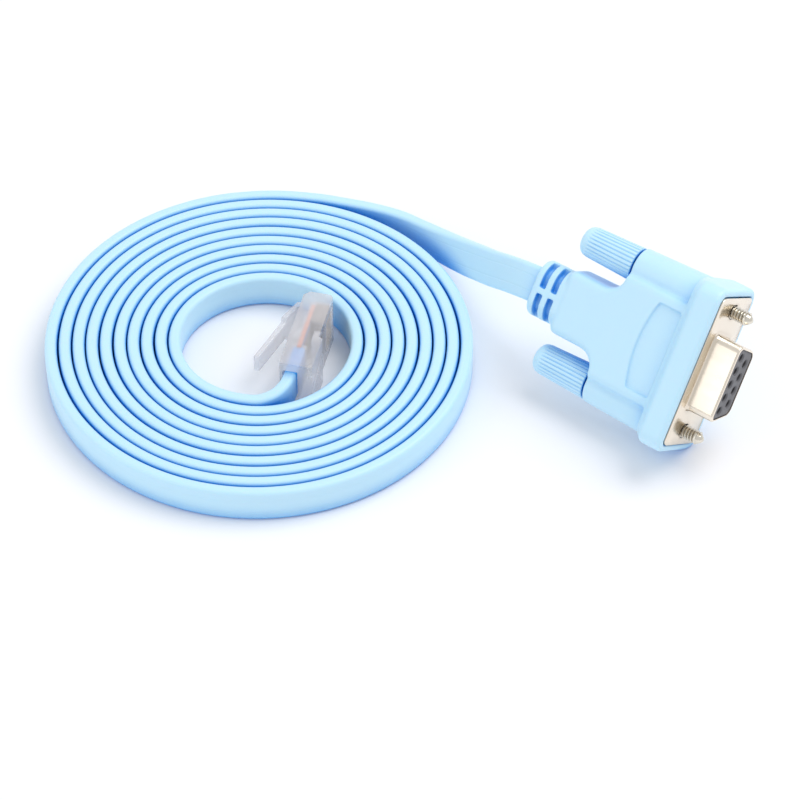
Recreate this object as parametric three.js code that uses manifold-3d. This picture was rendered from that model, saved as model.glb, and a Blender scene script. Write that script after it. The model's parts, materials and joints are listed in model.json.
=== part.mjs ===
// RJ45 console cable: a flat eight-core cable lying in a flat spiral coil, with a clear
// modular plug in the middle of the coil and a nine-way socket connector on the other end.
// Millimetres. +Z is up and the floor is z = 0. +X is the way the nine-way connector plugs in.
// The origin is on the floor under the middle of that connector.

import * as THREE from 'three';
import { mergeVertices } from 'three/addons/utils/BufferGeometryUtils.js';
import Module from 'manifold-3d';

const wasm = await Module();
wasm.setup();

// Clearances
const fitGap = 0.3;            // between pieces that seat in or on each other
const bladeGap = 0.2;          // beside a contact blade in its slot

// Flat cable
const cableWidth = 7.2;
const cableThickness = 2.4;
const cableEdge = 0.7;         // chamfer that stands for the rounded edges
const turnGap = 0.29;          // between neighbouring turns
const coilTurns = 10;          // layers across the wound ring
const coilInnerRadius = 16.8;
const coilGroove = 0.9;        // depth of the groove between turns
const coilGrooveEdge = 0.45;   // chamfer on each side of a groove
const coilSides = 40;          // flats round the ring
const coilCentre = [-63.7, -35.65];

// Moulded hood of the nine-way connector, in its own frame: x forward from the flange face,
// y along the flange to the upper screw, z out of the side with the row of five sockets
const hoodRoll = 53;         // degrees the connector is rolled over, resting on its lower rim
const rimWidth = 34;
const rimHeight = 17.2;
const rimCorner = 3;
const rimFront = -0.2;         // the rim stands this far behind the flange's front face
const rimDepth = 4.4;
const rimSlope = 2.6;          // the rim slopes down to the body over this length
const rimRound = 0.5;
const bodyBack = -21.4;          // rear of the two screw barrels
const bodyFrontThickness = 11.6;
const bodyBackThickness = 7.6; // at the back of the neck
const bodyEdge = 1.1;
const neckWidth = 13.2;
const neckBack = -33.2;
const neckFlare = 3.9;         // radius of the concave corner between neck and barrels
const barrelBackRadius = 3.75;
const barrelFrontRadius = 4.4;
const reliefWidth = 11.6;
const reliefThickness = 7.4;
const reliefBack = -39.6;
const entryDepth = 3;          // how far the cable's jacket reaches into the strain relief
const slotCount = 2;
const slotWidth = 1.1;
const slotPitch = 2.6;
const slotFirst = -34.7;       // middle of the slot nearest the neck
const slotDepth = 1.5;
const slotBridge = 1.9;        // width of the ribs left across the slots
const panelDepth = 0.4;        // recessed panel on both broad sides
const panelWidth = 17.8;
const panelFront = -7.4;
const panelBack = -12.6;
const panelBow = 1.5;          // how far the panel's back edge bows towards the cable
const seamHalf = 11.2;          // distance of the seam groove from the middle
const seamWidth = 0.5;
const seamDepth = 0.5;
const seamFront = -7.6;
const seamBack = -18;

// Metal shell, insulator and contacts
const flangeWidth = 30.81;
const flangeHeight = 14;
const flangeCorner = 1.6;
const sheetThickness = 0.5;
const flangeEnd = 2.91;          // from a screw's axis to the end of the flange
const screwSpacing = flangeWidth - 2 * flangeEnd;
const screwHole = 3.1;
const shellWidth = 16.33;
const shellHeight = 7.9;
const shellSide = 10;          // degrees the ends of the D lean in
const shellCorner = 1.9;
const shellDepth = 5.8;
const insulatorBack = -3;
const insulatorRecess = 0.15;
const contactPitch = 2.77;
const rowSpacing = 2.84;
const socketBore = 1.6;
const sleeveOuter = 1.2;
const sleeveBore = 0.9;
const sleeveRecess = 0.8;
const sleeveBack = -2.4;

// Thumbscrews
const screwDiameter = 2.5;
const screwTip = 4.4;          // how far the screw stands out of the flange
const screwPoint = 0.6;        // chamfer on its tip
const boreClearance = 0.5;     // radial, screw to hood
const knobFrontRadius = 3.5;
const knobBackRadius = 3.05;
const knobLength = 12.4;
const knobRound = 1.6;
const knobGap = 0.4;           // knob to barrel
const knobWall = 3.2;          // solid end of the knob behind the screw

// Modular plug, in its own frame: x towards its nose, y across its width, z out of the
// side with the contacts. It stands on one narrow side.
const plugLength = 20.6;
const plugWidth = 11.68;
const plugHeight = 6.6;
const plugStep = 0.8;          // the front part is this much thinner on the contact side
const plugStepFrom = 12.3;     // from the nose
const plugNose = 1.1;          // chamfer on the nose
const plugCentre = [-55.2, -31.75];
const plugHeading = 113.5;     // degrees from +X
const bladeCount = 8;
const bladePitch = 1.02;
const bladeThickness = 0.3;
const bladeFront = 0.9;        // from the nose
const bladeLength = 5;
const bladeTop = 0.25;         // below the contact side
const bladeHeight = 3;
const cavityDepth = 7.6;
const cableOffset = -1.2;      // the cable enters nearer the latch side
const channelWall = 1.3;       // left in front of the conductor channel
const channelHeight = 1.1;
const channelWidth = 8.5;
const windowFrom = 9.1;        // crimp window, from the nose
const windowLength = 2.8;
const windowWidth = 8.8;
const windowDepth = 1.6;

// Latch of the plug
const latchWidth = 6.2;
const latchTongueWidth = 3.9;
const latchThickness = 1.15;
const latchRoot = 0.6;         // from the nose
const latchShoulder = 5.6;     // from the nose
const latchShoulderDrop = 2.3; // below the plug
const latchTip = 16.3;         // from the nose
const latchTipDrop = 5.2;

// Route of the stretches that are not coiled: x, y, z and the turn of the flat away from upright
const leadRoute = [
  [-63.0, 9.5, 3.7, 1],
  [-56.2, 8.9, 4.6, 6],
  [-49.6, 7.5, 6.3, 16],
  [-44.9, 6.2, 8.0, 23],
  [-40.3, 4.8, 10.0, 29],
  [-36.0, 3.4, 12.0, 33],
  [-31.7, 1.9, 14.4, 35],
  [-28.3, 0.8, 16.1, 37],
  [-25.2, 0.1, 17.25, 37],
];
const tailRoute = [
  [-51.8, -42.9, 5.7, 0],
];
const tailEnd = [-51.7, -44.8, 5.2, 0];

const rad = THREE.MathUtils.degToRad;
const axisX = new THREE.Vector3(1, 0, 0);
const axisY = new THREE.Vector3(0, 1, 0);
const axisZ = new THREE.Vector3(0, 0, 1);
const profileToX = new THREE.Matrix4().makeBasis(axisY, axisZ, axisX);          // section in y z, pulled along x
const latheToX = new THREE.Matrix4().makeBasis(axisY, axisX, axisZ.clone().negate());

const colours = {
  jacket: [0x9fd0f5, 0.42, 0],
  shell: [0xc9bca6, 0.25, 1],
  insulator: [0x55565a, 0.55, 0],
  contact: [0xc8a24a, 0.3, 1],
  screw: [0xbdb19c, 0.3, 1],
  clear: [0xf2f6f8, 0.1, 0],
};

function material(kind) {
  const [color, roughness, metalness] = colours[kind];
  const made = new THREE.MeshStandardMaterial({ color, roughness, metalness });
  if (kind === 'clear') {
    made.transparent = true;
    made.opacity = 0.45;
  }
  return made;
}

function piece(name, geometry, kind) {
  const mesh = new THREE.Mesh(geometry, material(kind));
  mesh.name = name;
  return mesh;
}

function toSolid(geometry) {
  const bare = geometry.clone();
  for (const key of Object.keys(bare.attributes)) {
    if (key !== 'position') bare.deleteAttribute(key);
  }
  const merged = mergeVertices(bare, 1e-4);
  return new wasm.Manifold(new wasm.Mesh({
    numProp: 3,
    vertProperties: new Float32Array(merged.attributes.position.array),
    triVerts: new Uint32Array(merged.index.array),
  }));
}

function toGeometry(solid) {
  const mesh = solid.getMesh();
  const geometry = new THREE.BufferGeometry();
  geometry.setAttribute('position', new THREE.BufferAttribute(mesh.vertProperties, 3));
  geometry.setIndex(new THREE.BufferAttribute(mesh.triVerts, 1));
  geometry.computeVertexNormals();
  return geometry;
}

function extruded(shape, depth, curveSegments = 4) {
  return new THREE.ExtrudeGeometry(shape, { depth, bevelEnabled: false, curveSegments });
}

// A section in y and z, pulled along x from one place to another
function alongX(shape, from, to, curveSegments = 4) {
  return extruded(shape, to - from, curveSegments).applyMatrix4(profileToX).translate(from, 0, 0);
}

function turnedX(points, segments) {
  return new THREE.LatheGeometry(points.map(([r, x]) => new THREE.Vector2(r, x)), segments)
    .applyMatrix4(latheToX);
}

function rodX(radius, from, to, segments = 16) {
  return turnedX([[0, from], [radius, from], [radius, to], [0, to]], segments);
}

function boxAt(x, y, z, sizeX, sizeY, sizeZ) {
  return new THREE.BoxGeometry(sizeX, sizeY, sizeZ).translate(x, y, z);
}

function roundedRect(width, height, corner) {
  const shape = new THREE.Shape();
  const w = width / 2;
  const h = height / 2;
  const r = Math.min(corner, w, h);
  shape.moveTo(-w + r, -h);
  shape.lineTo(w - r, -h);
  shape.absarc(w - r, -h + r, r, -Math.PI / 2, 0);
  shape.lineTo(w, h - r);
  shape.absarc(w - r, h - r, r, 0, Math.PI / 2);
  shape.lineTo(-w + r, h);
  shape.absarc(-w + r, h - r, r, Math.PI / 2, Math.PI);
  shape.lineTo(-w, -h + r);
  shape.absarc(-w + r, -h + r, r, Math.PI, 1.5 * Math.PI);
  return shape;
}

// The D outline of the connector, wide side at +z, offset inwards by a margin
function dOutline(margin) {
  const lean = rad(shellSide);
  const h = shellHeight / 2 - margin;
  const slope = Math.tan(lean);
  const mid = shellWidth / 2 - (shellHeight / 2) * slope - margin / Math.cos(lean);
  const r = Math.max(shellCorner - margin, 0.2);
  const corners = [[-(mid - h * slope), -h], [mid - h * slope, -h], [mid + h * slope, h], [-(mid + h * slope), h]];
  const shape = new THREE.Shape();
  corners.forEach(([x, y], i) => {
    const before = corners[(i + 3) % 4];
    const after = corners[(i + 1) % 4];
    const back = new THREE.Vector2(before[0] - x, before[1] - y).normalize();
    const ahead = new THREE.Vector2(after[0] - x, after[1] - y).normalize();
    const setback = r / Math.tan(back.angleTo(ahead) / 2);
    const from = [x + back.x * setback, y + back.y * setback];
    const to = [x + ahead.x * setback, y + ahead.y * setback];
    if (i === 0) shape.moveTo(from[0], from[1]);
    else shape.lineTo(from[0], from[1]);
    shape.quadraticCurveTo(x, y, to[0], to[1]);
  });
  shape.closePath();
  return shape;
}

// The flat cable along a route: a straight extrusion bent onto the route's curve, with its
// broad faces turned as the route says
function flatCable(route, steps) {
  const w = cableWidth / 2;
  const t = cableThickness / 2;
  const e = cableEdge;
  const section = new THREE.Shape([
    [-t + e, -w], [t - e, -w], [t, -w + e], [t, w - e], [t - e, w], [-t + e, w], [-t, w - e], [-t, -w + e],
  ].map(([x, y]) => new THREE.Vector2(x, y)));
  const geometry = new THREE.ExtrudeGeometry(section, { depth: 1, steps, bevelEnabled: false });
  const curve = new THREE.CatmullRomCurve3(route.map(([x, y, z]) => new THREE.Vector3(x, y, z)), false, 'centripetal');
  const turns = new THREE.CatmullRomCurve3(route.map((p, i) => new THREE.Vector3(p[3], i, 0)), false, 'centripetal');
  const position = geometry.attributes.position;
  for (let i = 0; i < position.count; i += 1) {
    const along = THREE.MathUtils.clamp(position.getZ(i), 0, 1);
    const centre = curve.getPoint(along);
    const tangent = curve.getTangent(along);
    const turn = rad(turns.getPoint(along).x);
    const across = new THREE.Vector3(0, Math.sin(turn), Math.cos(turn));
    across.addScaledVector(tangent, -across.dot(tangent)).normalize();
    const normal = new THREE.Vector3().crossVectors(across, tangent).normalize();
    centre.addScaledVector(normal, position.getX(i)).addScaledVector(across, position.getY(i));
    position.setXYZ(i, centre.x, centre.y, centre.z);
  }
  return geometry;
}

// One turned ring for the whole winding; a groove in each end for every gap between turns
function coilRing() {
  const pitch = cableThickness + turnGap;
  const points = [];
  for (let turn = 0; turn < coilTurns; turn += 1) {
    const inner = coilInnerRadius + turn * pitch;
    const outer = inner + cableThickness;
    points.push([inner + coilGrooveEdge, cableWidth], [outer - coilGrooveEdge, cableWidth]);
    if (turn < coilTurns - 1) points.push([outer + turnGap / 2, cableWidth - coilGroove]);
  }
  const outerRadius = coilInnerRadius + coilTurns * pitch - turnGap;
  const top = [[coilInnerRadius, cableWidth - coilGrooveEdge], ...points, [outerRadius, cableWidth - coilGrooveEdge]];
  const under = top.map(([r, z]) => [r, cableWidth - z]);
  const profile = [...under, ...top.reverse(), under[0]];
  return new THREE.LatheGeometry(profile.map(([r, z]) => new THREE.Vector2(r, z)), coilSides)
    .rotateX(Math.PI / 2).translate(coilCentre[0], coilCentre[1], 0);
}

// Slab of the hood: neck, concave corners and the part between the barrels, in plan, thicker
// towards the rim
function hoodSlab() {
  const half = screwSpacing / 2;
  const neck = neckWidth / 2;
  const front = rimFront - rimDepth / 2;
  const b = bodyEdge;
  const shape = new THREE.Shape();
  shape.moveTo(neckBack, -neck + b);
  shape.lineTo(bodyBack - neckFlare + b, -neck + b);
  shape.absarc(bodyBack - neckFlare + b, -neck - neckFlare + b, neckFlare, Math.PI / 2, 0, true);
  shape.lineTo(bodyBack + b, -half);
  shape.lineTo(front, -half);
  shape.lineTo(front, half);
  shape.lineTo(bodyBack + b, half);
  shape.lineTo(bodyBack + b, neck + neckFlare - b);
  shape.absarc(bodyBack - neckFlare + b, neck + neckFlare - b, neckFlare, 0, -Math.PI / 2, true);
  shape.lineTo(neckBack, neck - b);
  shape.closePath();
  const geometry = new THREE.ExtrudeGeometry(shape, {
    depth: 2 * (1 - bodyEdge / bodyBackThickness), bevelEnabled: true, bevelThickness: bodyEdge / bodyBackThickness,
    bevelSize: b, bevelSegments: 3, curveSegments: 6,
  });
  geometry.translate(0, 0, bodyEdge / bodyBackThickness - 1);
  const position = geometry.attributes.position;
  for (let i = 0; i < position.count; i += 1) {
    position.setZ(i, position.getZ(i) * bodyHalfThickness(position.getX(i)));
  }
  return geometry;
}

function bodyHalfThickness(x) {
  const share = (x - neckBack) / (rimFront - rimDepth - neckBack);
  return (bodyBackThickness + share * (bodyFrontThickness - bodyBackThickness)) / 2;
}

// Rim round the flange: straight at the front, sloping down to the body behind
function hoodRim() {
  const front = alongX(roundedRect(rimWidth, rimHeight, rimCorner), rimFront - rimDepth, rimFront - rimRound);
  const nose = alongX(roundedRect(rimWidth - 2 * rimRound, rimHeight - 2 * rimRound, rimCorner - rimRound),
    rimFront - rimDepth, rimFront);
  const slope = alongX(roundedRect(rimWidth, rimHeight, rimCorner), 0, 1);
  const position = slope.attributes.position;
  for (let i = 0; i < position.count; i += 1) {
    const x = rimFront - rimDepth - rimSlope * (1 - position.getX(i));
    const share = 1 - position.getX(i);
    const narrow = 1 - share * (1 - bodyFrontThickness / rimHeight);
    const slim = 1 - share * (1 - (screwSpacing + 2 * barrelFrontRadius - 0.6) / rimWidth);
    position.setXYZ(i, x, position.getY(i) * slim, position.getZ(i) * narrow);
  }
  return toSolid(front).add(toSolid(nose)).add(toSolid(slope));
}

function hoodBarrel(side) {
  const front = rimFront - rimDepth / 2;
  return turnedX([[0, bodyBack], [barrelBackRadius - 0.4, bodyBack], [barrelBackRadius, bodyBack + 0.4],
    [barrelFrontRadius, front], [0, front]], 20).translate(0, side * screwSpacing / 2, 0);
}

// Strain relief: an oval sleeve with rows of slots, bridged at the middle of each side
function strainRelief() {
  const radius = Math.min(reliefThickness / 2, reliefWidth / 2);
  const round = 0.6;
  const section = roundedRect(reliefWidth, reliefThickness, radius);
  let relief = toSolid(alongX(section, reliefBack + round, neckBack + 1, 6));
  relief = relief.add(toSolid(alongX(roundedRect(reliefWidth - 2 * round, reliefThickness - 2 * round, radius),
    reliefBack, neckBack, 6)));
  for (let i = 0; i < slotCount; i += 1) {
    const middle = slotFirst - i * slotPitch;
    const outer = alongX(roundedRect(reliefWidth + 2, reliefThickness + 2, radius + 1), middle - slotWidth / 2,
      middle + slotWidth / 2, 6);
    const core = alongX(roundedRect(reliefWidth - 2 * slotDepth, reliefThickness - 2 * slotDepth, radius),
      middle - slotWidth, middle + slotWidth, 6);
    let ring = toSolid(outer).subtract(toSolid(core));
    ring = ring.subtract(toSolid(boxAt(middle, 0, 0, 2 * slotWidth, slotBridge, reliefThickness + 4)));
    ring = ring.subtract(toSolid(boxAt(middle, 0, 0, 2 * slotWidth, reliefWidth + 4, slotBridge)));
    relief = relief.subtract(ring);
  }
  return relief;
}

// Panel cut: straight front and sides, bowed back edge
function panelCut(side) {
  const shape = new THREE.Shape();
  shape.moveTo(panelFront, -panelWidth / 2);
  shape.lineTo(panelFront, panelWidth / 2);
  shape.lineTo(panelBack, panelWidth / 2);
  shape.quadraticCurveTo(panelBack - 2 * panelBow, 0, panelBack, -panelWidth / 2);
  shape.closePath();
  const geometry = extruded(shape, 1, 8);
  const position = geometry.attributes.position;
  for (let i = 0; i < position.count; i += 1) {
    const floor = bodyHalfThickness(position.getX(i)) - panelDepth;
    position.setZ(i, floor + position.getZ(i) * 4);
  }
  return side > 0 ? toSolid(geometry) : toSolid(geometry.rotateX(Math.PI));
}

function seamCut(side, hand) {
  const geometry = boxAt((seamFront + seamBack) / 2, hand * seamHalf, 0.5, seamFront - seamBack, seamWidth, 1);
  const position = geometry.attributes.position;
  for (let i = 0; i < position.count; i += 1) {
    const floor = bodyHalfThickness(position.getX(i)) - seamDepth;
    position.setZ(i, floor + position.getZ(i) * 4);
  }
  return side > 0 ? toSolid(geometry) : toSolid(geometry.rotateX(Math.PI));
}

function hood() {
  let body = toSolid(hoodSlab()).add(hoodRim()).add(strainRelief());
  for (const side of [1, -1]) body = body.add(toSolid(hoodBarrel(side)));
  for (const side of [1, -1]) {
    body = body.subtract(panelCut(side));
    for (const hand of [1, -1]) body = body.subtract(seamCut(side, hand));
    const bore = rodX(screwDiameter / 2 + boreClearance, bodyBack - 1, 1, 14).translate(0, side * screwSpacing / 2, 0);
    body = body.subtract(toSolid(bore));
  }
  const pocket = roundedRect(flangeWidth + 2 * fitGap, flangeHeight + 2 * fitGap, flangeCorner + fitGap);
  body = body.subtract(toSolid(alongX(pocket, -sheetThickness - fitGap, 1)));
  body = body.subtract(toSolid(alongX(dOutline(sheetThickness), insulatorBack - fitGap, 1)));
  const entry = roundedRect(cableWidth + 2 * fitGap, cableThickness + 2 * fitGap, cableEdge);
  return toGeometry(body.subtract(toSolid(alongX(entry, reliefBack - 1, reliefBack + entryDepth))));
}

function frontShell() {
  const plate = roundedRect(flangeWidth, flangeHeight, flangeCorner);
  for (const side of [1, -1]) {
    const hole = new THREE.Path();
    hole.absarc(side * screwSpacing / 2, 0, screwHole / 2, 0, 2 * Math.PI, true);
    plate.holes.push(hole);
  }
  plate.holes.push(new THREE.Path(dOutline(sheetThickness).getPoints(5)));
  const wall = dOutline(0);
  wall.holes.push(new THREE.Path(dOutline(sheetThickness).getPoints(5)));
  const flange = toSolid(alongX(plate, -sheetThickness, 0, 8));
  return toGeometry(flange.add(toSolid(alongX(wall, -sheetThickness / 2, shellDepth, 5))));
}

// Places of the nine sockets: five at +z, four at -z
function socketPlaces() {
  const places = [];
  for (let i = 0; i < 5; i += 1) places.push([(2 - i) * contactPitch, rowSpacing / 2]);
  for (let i = 0; i < 4; i += 1) places.push([(1.5 - i) * contactPitch, -rowSpacing / 2]);
  return places;
}

function insulator() {
  const face = dOutline(sheetThickness + fitGap);
  let body = toSolid(alongX(face, insulatorBack, shellDepth - insulatorRecess, 5));
  for (const [y, z] of socketPlaces()) {
    body = body.subtract(toSolid(rodX(socketBore / 2, sleeveBack - fitGap, shellDepth + 1, 10).translate(0, y, z)));
  }
  return toGeometry(body);
}

function socketSleeve(y, z) {
  const front = shellDepth - insulatorRecess - sleeveRecess;
  return turnedX([[0, sleeveBack], [sleeveOuter / 2, sleeveBack], [sleeveOuter / 2, front], [sleeveBore / 2, front],
    [sleeveBore / 2, sleeveBack + 1], [0, sleeveBack + 1]], 8).translate(0, y, z);
}

function knob() {
  const front = bodyBack - knobGap;
  const back = front - knobLength;
  const bore = screwDiameter / 2 + fitGap;
  return turnedX([[bore, front], [bore, back + knobWall], [0, back + knobWall], [0, back],
    [knobBackRadius - knobRound, back], [knobBackRadius - 0.3 * knobRound, back + 0.3 * knobRound],
    [knobBackRadius, back + knobRound], [knobFrontRadius, front], [bore, front]], 20);
}

function screw() {
  const back = bodyBack - knobGap - knobLength + knobWall + fitGap;
  const radius = screwDiameter / 2;
  return turnedX([[0, back], [radius, back], [radius, screwTip - screwPoint], [radius - screwPoint, screwTip],
    [0, screwTip]], 14);
}

// A side view in x and z, pulled across the plug's width
function acrossPlug(outline, width) {
  const shape = new THREE.Shape(outline.map(([x, z]) => new THREE.Vector2(x, z)));
  return extruded(shape, width).rotateX(Math.PI / 2).translate(0, width / 2, 0);
}

function plugBody() {
  const nose = plugLength / 2;
  const h = plugHeight / 2;
  const top = h - plugStep;
  const step = nose - plugStepFrom;
  let body = toSolid(acrossPlug([[-nose, -h], [nose - plugNose, -h], [nose, -h + plugNose], [nose, top - plugNose / 2],
    [nose - plugNose / 2, top], [step + plugStep / 2, top], [step, h], [-nose, h]], plugWidth));
  const cavityHeight = cableThickness + 2 * fitGap;
  const cavityWidth = cableWidth + 2 * fitGap;
  body = body.subtract(toSolid(boxAt(-nose + cavityDepth / 2 - 0.5, 0, cableOffset, cavityDepth + 1, cavityWidth,
    cavityHeight)));
  const channelLength = plugLength - cavityDepth - channelWall;
  body = body.subtract(toSolid(boxAt(nose - channelWall - channelLength / 2 - 0.25, 0, cableOffset,
    channelLength + 0.5, channelWidth, channelHeight)));
  const slotLength = bladeLength + 2 * fitGap;
  const slotMiddle = nose - bladeFront - bladeLength / 2;
  const slotFloor = top - bladeTop - bladeHeight - fitGap;
  for (const y of bladePlaces()) {
    body = body.subtract(toSolid(boxAt(slotMiddle, y, (slotFloor + h) / 2, slotLength, bladeThickness + 2 * bladeGap,
      h - slotFloor)));
  }
  const window = boxAt(nose - windowFrom - windowLength / 2, 0, top - windowDepth / 2 + 1, windowLength, windowWidth,
    windowDepth + 2);
  return toGeometry(body.subtract(toSolid(window)));
}

function bladePlaces() {
  return Array.from({ length: bladeCount }, (_, i) => (i - (bladeCount - 1) / 2) * bladePitch);
}

function blade(y) {
  const front = plugLength / 2 - bladeFront;
  const top = plugHeight / 2 - plugStep - bladeTop;
  const outline = [[front - bladeLength, top - bladeHeight], [front, top - bladeHeight], [front, top - 0.6],
    [front - 0.6, top], [front - bladeLength, top]];
  return acrossPlug(outline, bladeThickness).translate(0, y, 0);
}

// Latch arm: a broad root part, then a narrower tongue, both leaning away from the plug
function latch() {
  const nose = plugLength / 2;
  const under = -plugHeight / 2;
  const root = [nose - latchRoot, under - fitGap];
  const shoulder = [nose - latchShoulder, under - latchShoulderDrop];
  const tip = [nose - latchTip, under - latchTipDrop];
  const lower = ([x, z]) => [x, z - latchThickness];
  const broad = acrossPlug([lower(root), root, shoulder, lower(shoulder)].reverse(), latchWidth);
  const tongue = acrossPlug([lower(root), root, shoulder, tip, lower(tip), lower(shoulder)].reverse(), latchTongueWidth);
  return toGeometry(toSolid(broad).add(toSolid(tongue)));
}

// Height of the connector's axis when its lower rim corner rests on the floor
function axisHeight() {
  const roll = rad(hoodRoll);
  return (rimWidth / 2 - rimCorner) * Math.sin(roll) + (rimHeight / 2 - rimCorner) * Math.cos(roll) + rimCorner;
}

function connector() {
  const group = new THREE.Group();
  group.position.set(-(reliefBack + shellDepth) / 2, 0, axisHeight());
  group.rotation.x = rad(hoodRoll);
  group.add(piece('moulded_hood', hood(), 'jacket'));
  group.add(piece('front_shell', frontShell(), 'shell'));
  group.add(piece('socket_insulator', insulator(), 'insulator'));
  socketPlaces().forEach(([y, z], i) => {
    group.add(piece(`socket_contact_${i + 1}`, socketSleeve(y, z), 'contact'));
  });
  for (const [name, side] of [['upper', 1], ['lower', -1]]) {
    const thumbscrew = new THREE.Group();
    thumbscrew.position.y = side * screwSpacing / 2;
    thumbscrew.add(piece(`${name}_screw`, screw(), 'screw'));
    thumbscrew.add(piece(`${name}_screw_grip`, knob(), 'jacket'));
    group.add(thumbscrew);
  }
  return group;
}

function modularPlug() {
  const group = new THREE.Group();
  group.position.set(plugCentre[0], plugCentre[1], plugWidth / 2);
  group.rotation.order = 'ZYX';
  group.rotation.set(Math.PI / 2, 0, rad(plugHeading));
  group.add(piece('plug_body', plugBody(), 'clear'));
  group.add(piece('plug_latch', latch(), 'clear'));
  bladePlaces().forEach((y, i) => group.add(piece(`plug_contact_${i + 1}`, blade(y), 'contact')));
  return group;
}

// The lead starts beside the ring and ends just inside the strain relief
function lead() {
  const end = -(reliefBack + shellDepth) / 2 + reliefBack + entryDepth - fitGap;
  const route = [...leadRoute, [end - entryDepth, 0, axisHeight(), 90 - hoodRoll], [end, 0, axisHeight(), 90 - hoodRoll]];
  return flatCable(route, 16);
}

// The tail starts inside the plug and ends beside the innermost turn
function tail() {
  const heading = rad(plugHeading);
  const ahead = [Math.cos(heading), Math.sin(heading)];
  const right = [ahead[1], -ahead[0]];
  const inPlug = (x) => [
    plugCentre[0] + x * ahead[0] + cableOffset * right[0],
    plugCentre[1] + x * ahead[1] + cableOffset * right[1],
    plugWidth / 2,
    0,
  ];
  const start = -plugLength / 2 + cavityDepth - fitGap;
  return flatCable([inPlug(start), inPlug(-plugLength / 2), ...tailRoute, tailEnd], 10);
}

const cable = new THREE.Group();
cable.add(piece('cable_coil', coilRing(), 'jacket'));
cable.add(piece('cable_lead', lead(), 'jacket'));
cable.add(piece('cable_tail', tail(), 'jacket'));

const consoleCable = new THREE.Group();
consoleCable.add(cable, modularPlug(), connector());

export default consoleCable;
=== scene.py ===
# RJ45 console cable: one flat blue cable wound in a flat spiral, a clear modular plug in the middle
# of the coil and a moulded nine-way socket connector with two thumbscrews on the other end.
# Sizes in the dictionaries are millimetres and degrees. Meshes are modelled in millimetres in the
# frame of their own part, and makePiece puts them in place in metres.
import json
import math
import bmesh
import bpy
from mathutils import Matrix, Vector

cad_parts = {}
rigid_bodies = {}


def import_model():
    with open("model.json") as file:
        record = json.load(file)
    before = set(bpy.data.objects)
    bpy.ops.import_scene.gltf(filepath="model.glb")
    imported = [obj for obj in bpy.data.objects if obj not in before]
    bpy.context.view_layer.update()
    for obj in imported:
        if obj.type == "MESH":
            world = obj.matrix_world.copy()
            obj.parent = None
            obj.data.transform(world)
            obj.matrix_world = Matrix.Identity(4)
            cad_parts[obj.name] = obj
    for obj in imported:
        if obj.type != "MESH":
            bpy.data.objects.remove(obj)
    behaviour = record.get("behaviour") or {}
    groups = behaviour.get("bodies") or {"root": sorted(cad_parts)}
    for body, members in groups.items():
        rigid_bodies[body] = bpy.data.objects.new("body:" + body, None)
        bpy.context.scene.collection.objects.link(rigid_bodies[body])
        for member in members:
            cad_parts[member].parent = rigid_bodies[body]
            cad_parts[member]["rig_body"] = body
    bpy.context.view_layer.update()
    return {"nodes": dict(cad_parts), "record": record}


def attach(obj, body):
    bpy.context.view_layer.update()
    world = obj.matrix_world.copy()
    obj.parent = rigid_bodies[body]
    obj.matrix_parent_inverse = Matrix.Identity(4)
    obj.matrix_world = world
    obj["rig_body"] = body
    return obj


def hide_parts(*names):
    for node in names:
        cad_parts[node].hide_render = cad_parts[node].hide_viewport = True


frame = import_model()
scene = bpy.context.scene
toMetres = Matrix.Scale(0.001, 4)
mounts = {mount["name"]: Vector(mount["pos_m"]) * 1000 for mount in frame["record"]["mounts"]}
print("frame loaded:", len(frame["nodes"]), "nodes")


# Camera, floor and light

cameraLook = {"azimuth": 36.71, "elevation": 45.51, "lookAt": (-36.15, -27.44, 0), "distance": 782.8,
              "lens": 180}
lightLook = {"world": 0.74, "key": 3.7, "keyAzimuth": 150, "keyHeight": 60, "keySize": 0.7,
             "fill": 1.25, "fillAzimuth": 332, "fillHeight": 24, "fillSize": 0.6, "distance": 0.9}


def direction(azimuth, elevation):
    a, e = math.radians(azimuth), math.radians(elevation)
    return Vector((math.sin(a) * math.cos(e), -math.cos(a) * math.cos(e), math.sin(e)))


def makeCamera():
    data = bpy.data.cameras.new("camera")
    data.lens = cameraLook["lens"]
    data.clip_end = 20
    camera = bpy.data.objects.new("camera", data)
    scene.collection.objects.link(camera)
    back = direction(cameraLook["azimuth"], cameraLook["elevation"])
    camera.location = (Vector(cameraLook["lookAt"]) + back * cameraLook["distance"]) * 0.001
    tilt, turn = math.radians(90 - cameraLook["elevation"]), math.radians(cameraLook["azimuth"])
    camera.rotation_euler = (tilt, 0, turn)
    scene.camera = camera


def makeLamp(name):
    look = lightLook
    data = bpy.data.lights.new(name, "AREA")
    data.energy = look[name]
    data.shape = "DISK"
    data.size = look[name + "Size"]
    lamp = bpy.data.objects.new(name, data)
    scene.collection.objects.link(lamp)
    away = direction(look[name + "Azimuth"], look[name + "Height"])
    lamp.location = Vector(cameraLook["lookAt"]) * 0.001 + away * look["distance"]
    lamp.rotation_euler = away.to_track_quat("Z", "Y").to_euler()


# Shader maths: a wrapped socket, so that an expression on values adds its Math nodes

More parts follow.
